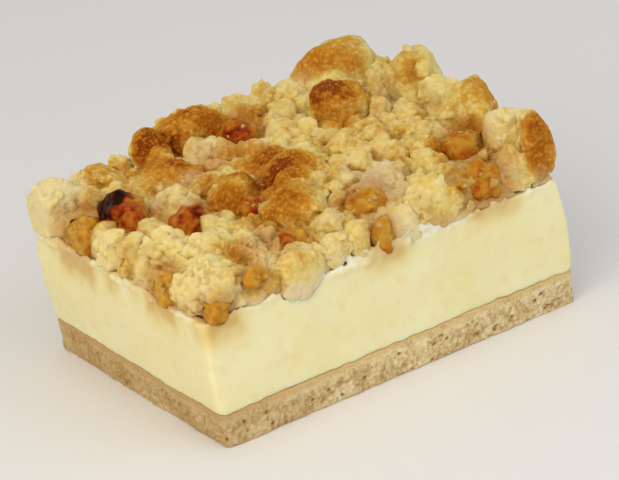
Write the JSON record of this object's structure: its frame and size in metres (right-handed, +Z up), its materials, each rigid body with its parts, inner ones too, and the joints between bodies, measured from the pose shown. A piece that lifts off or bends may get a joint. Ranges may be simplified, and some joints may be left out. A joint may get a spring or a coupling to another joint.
{
  "type": "apple sour cream tart, cut block",
  "caption": "Cut block of sweet tart: a crumbly pastry base, a thick pale sour cream filling and a craggy golden crumble with pieces of baked apple.",
  "frame": {"origin": "middle of the portion's underside, on the surface that it stands on", "axes": "+X along the longer side, from the short cut face that is seen to the far end; +Y from the long cut face that is seen to the back; +Z up through base, filling and crumble"},
  "size_m": [0.0969, 0.0794, 0.0516],
  "materials": {
    "shortcrust_base": "baked, dry and grainy",
    "sour_cream_filling": "moist, smooth knife cut",
    "crumble": "baked, rough and granular",
    "baked_apple": "moist, glossy"
  },
  "bodies": {
    "root": {"base_layer": "shortcrust_base", "sour_cream_filling": "sour_cream_filling", "crumble_bed": "crumble", "crumb_back_crown": "crumble", "crumb_back_ball": "crumble", "crumb_left_crown": "crumble", "crumb_left_slab": "crumble", "crumb_back_gold": "crumble", "crumb_back_pale": "crumble", "crumb_back_spike": "crumble", "crumb_back_cream": "crumble", "crumb_middle_gold": "crumble", "crumb_middle_top": "crumble", "crumb_middle_front": "crumble", "crumb_right_peak": "crumble", "crumb_right_ridge": "crumble", "crumb_right_gold": "crumble", "crumb_right_round": "crumble", "crumb_right_end": "crumble", "crumb_right_low": "crumble", "crumb_right_back": "crumble", "crumb_right_inner": "crumble", "crumb_right_small": "crumble", "crumb_right_front": "crumble", "crumb_front_yellow": "crumble", "crumb_front_beige": "crumble", "crumb_front_sugared": "crumble", "crumb_front_block": "crumble", "crumb_front_upright": "crumble", "crumb_front_hanging": "crumble", "crumb_front_inner": "crumble", "crumb_corner_heap": "crumble", "crumb_corner_upper": "crumble", "crumb_side_pale": "crumble", "crumb_side_flake": "crumble", "crumb_far_corner": "crumble", "crumb_far_low": "crumble", "apple_charred": "baked_apple", "apple_far_corner": "baked_apple", "apple_left": "baked_apple", "apple_side": "baked_apple", "apple_corner": "baked_apple", "apple_front_small": "baked_apple", "apple_middle": "baked_apple", "apple_back": "baked_apple", "apple_front": "baked_apple", "apple_front_strip": "baked_apple", "apple_right": "baked_apple", "apple_right_front": "baked_apple", "apple_dark_pocket": "baked_apple"}
  },
  "joints": []
}
